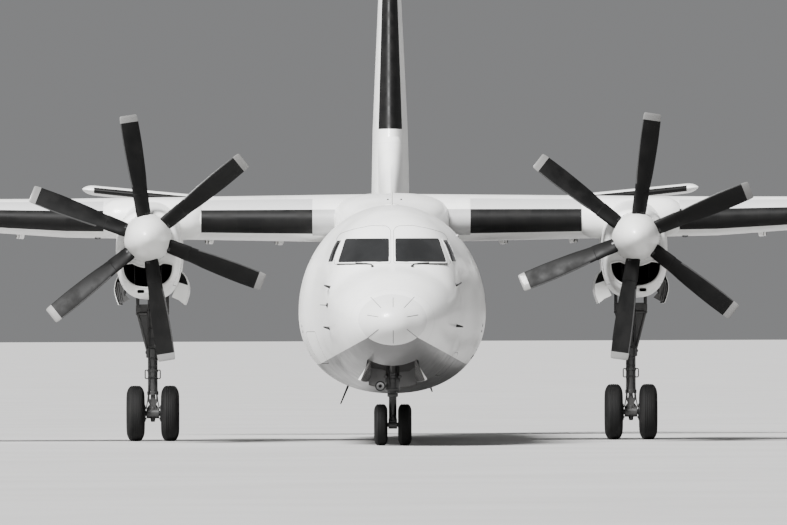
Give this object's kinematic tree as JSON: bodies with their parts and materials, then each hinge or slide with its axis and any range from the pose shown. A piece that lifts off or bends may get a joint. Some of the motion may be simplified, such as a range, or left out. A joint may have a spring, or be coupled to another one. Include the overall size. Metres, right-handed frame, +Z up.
{
  "type": "turboprop airliner",
  "caption": "High-wing twin turboprop airliner parked on its landing gear, with turning propellers and wheels, steering nose gear, moving control surfaces, flaps and an airstair door.",
  "frame": {"origin": "bottom centre of the bounding box, on the ground", "axes": "+Z up, -Y towards the nose, +X towards the left (port) wing tip"},
  "size_m": [29.002, 25.247, 8.317],
  "materials": {
    "white_paint": "gloss white paint",
    "white_composite": "gloss white paint on composite",
    "blade_black": "satin black composite",
    "glazing": "dark glazing",
    "bare_metal": "bare metal",
    "gear_paint": "grey paint",
    "engine_metal": "dull metal",
    "tyre": "black rubber"
  },
  "bodies": {
    "airframe": {"wing_centre": "white_paint", "wing_outer_left": "white_paint", "wing_outer_right": "white_paint", "tailplane_left": "white_composite", "tailplane_right": "white_composite", "fin": "white_composite", "radome": "white_composite", "windscreen_left": "glazing", "windscreen_right": "glazing", "side_window_left": "glazing", "side_window_right": "glazing", "fuselage": "white_paint", "nacelle_left": "white_paint", "nacelle_right": "white_paint", "engine_left": "engine_metal", "engine_right": "engine_metal", "exhaust_left": "bare_metal", "exhaust_right": "bare_metal", "main_leg_left": "gear_paint", "main_leg_right": "gear_paint", "main_drag_brace_left": "gear_paint", "main_drag_brace_right": "gear_paint", "main_strut_left": "gear_paint", "main_strut_right": "gear_paint", "main_door_outboard_left": "white_paint", "main_door_outboard_right": "white_paint", "main_door_inboard_left": "white_paint", "main_door_inboard_right": "white_paint", "nose_leg": "gear_paint", "nose_door_left": "white_paint", "nose_door_right": "white_paint"},
    "flap_inner_left": {"flap_inner_left": "white_paint"},
    "flap_inner_right": {"flap_inner_right": "white_paint"},
    "flap_outer_left": {"flap_outer_left": "white_paint"},
    "flap_outer_right": {"flap_outer_right": "white_paint"},
    "aileron_left": {"aileron_left": "white_paint"},
    "aileron_right": {"aileron_right": "white_paint"},
    "elevator_left": {"elevator_left": "white_composite"},
    "elevator_right": {"elevator_right": "white_composite"},
    "rudder": {"rudder": "white_composite"},
    "airstair_door": {"airstair_door": "white_paint"},
    "propeller_left": {"propeller_left": "blade_black", "spinner_left": "white_paint"},
    "propeller_right": {"propeller_right": "blade_black", "spinner_right": "white_paint"},
    "main_wheels_left": {"main_tyre_outer_left": "tyre", "main_rim_outer_left": "bare_metal", "main_tyre_inner_left": "tyre", "main_rim_inner_left": "bare_metal"},
    "main_wheels_right": {"main_tyre_outer_right": "tyre", "main_rim_outer_right": "bare_metal", "main_tyre_inner_right": "tyre", "main_rim_inner_right": "bare_metal"},
    "nose_strut": {"nose_strut": "gear_paint"},
    "nose_wheels": {"nose_tyre_left": "tyre", "nose_rim_left": "bare_metal", "nose_tyre_right": "tyre", "nose_rim_right": "bare_metal"}
  },
  "joints": [
    {"name": "propeller_left_spin", "type": "hinge", "parent": "airframe", "child": "propeller_left", "pos_m": [3.6, -5.1735, 3.03], "axis": [0, 1, 0], "continuous": true},
    {"name": "main_wheels_left_spin", "type": "hinge", "parent": "airframe", "child": "main_wheels_left", "pos_m": [3.6, -0.7235, 0.42], "axis": [1, 0, 0], "continuous": true},
    {"name": "propeller_right_spin", "type": "hinge", "parent": "airframe", "child": "propeller_right", "pos_m": [-3.6, -5.1735, 3.03], "axis": [0, 1, 0], "continuous": true},
    {"name": "main_wheels_right_spin", "type": "hinge", "parent": "airframe", "child": "main_wheels_right", "pos_m": [-3.6, -0.7235, 0.42], "axis": [1, 0, 0], "continuous": true},
    {"name": "nose_steering", "type": "hinge", "parent": "airframe", "child": "nose_strut", "pos_m": [0, -10.4235, 0.3], "axis": [0, 0, 1], "range_deg": [-73, 73]},
    {"name": "nose_wheels_spin", "type": "hinge", "parent": "nose_strut", "child": "nose_wheels", "pos_m": [0, -10.4235, 0.3], "axis": [1, 0, 0], "continuous": true},
    {"name": "rudder_hinge", "type": "hinge", "parent": "airframe", "child": "rudder", "pos_m": [0, 10.59703, 5.905], "axis": [0, 0.0646, 0.9979], "range_deg": [-30, 30]},
    {"name": "elevator_left_hinge", "type": "hinge", "parent": "airframe", "child": "elevator_left", "pos_m": [2.68, 10.6463, 3.68168], "axis": [0.9945, -0.009, 0.1045], "range_deg": [-20, 30]},
    {"name": "elevator_right_hinge", "type": "hinge", "parent": "airframe", "child": "elevator_right", "pos_m": [-2.68, 10.6463, 3.68168], "axis": [0.9945, 0.009, -0.1045], "range_deg": [-20, 30]},
    {"name": "aileron_left_hinge", "type": "hinge", "parent": "airframe", "child": "aileron_left", "pos_m": [11.375, -1.08798, 3.58877], "axis": [0.997, -0.0681, 0.0368], "range_deg": [-20, 20]},
    {"name": "aileron_right_hinge", "type": "hinge", "parent": "airframe", "child": "aileron_right", "pos_m": [-11.375, -1.08798, 3.58877], "axis": [0.997, 0.0681, -0.0368], "range_deg": [-20, 20]},
    {"name": "flap_inner_left_hinge", "type": "hinge", "parent": "airframe", "child": "flap_inner_left", "pos_m": [2.2025, -0.58729, 2.99579], "axis": [0.9979, -0.0625, 0.0141], "range_deg": [-35, 0]},
    {"name": "flap_inner_right_hinge", "type": "hinge", "parent": "airframe", "child": "flap_inner_right", "pos_m": [-2.2025, -0.58729, 2.99579], "axis": [0.9979, 0.0625, -0.0141], "range_deg": [-35, 0]},
    {"name": "flap_outer_left_hinge", "type": "hinge", "parent": "airframe", "child": "flap_outer_left", "pos_m": [6.8175, -0.87633, 3.14511], "axis": [0.9971, -0.0625, 0.0437], "range_deg": [-35, 0]},
    {"name": "flap_outer_right_hinge", "type": "hinge", "parent": "airframe", "child": "flap_outer_right", "pos_m": [-6.8175, -0.87633, 3.14511], "axis": [0.9971, 0.0625, -0.0437], "range_deg": [-35, 0]},
    {"name": "airstair_door_hinge", "type": "hinge", "parent": "airframe", "child": "airstair_door", "pos_m": [1.155, -7.9985, 1.29], "axis": [0, 1, 0], "range_deg": [0, 125]}
  ],
  "couplings": [
    {"joint": "elevator_right_hinge", "follows": "elevator_left_hinge", "ratio": 1},
    {"joint": "aileron_right_hinge", "follows": "aileron_left_hinge", "ratio": -1},
    {"joint": "flap_inner_right_hinge", "follows": "flap_inner_left_hinge", "ratio": 1},
    {"joint": "flap_outer_left_hinge", "follows": "flap_inner_left_hinge", "ratio": 1},
    {"joint": "flap_outer_right_hinge", "follows": "flap_inner_left_hinge", "ratio": 1}
  ]
}
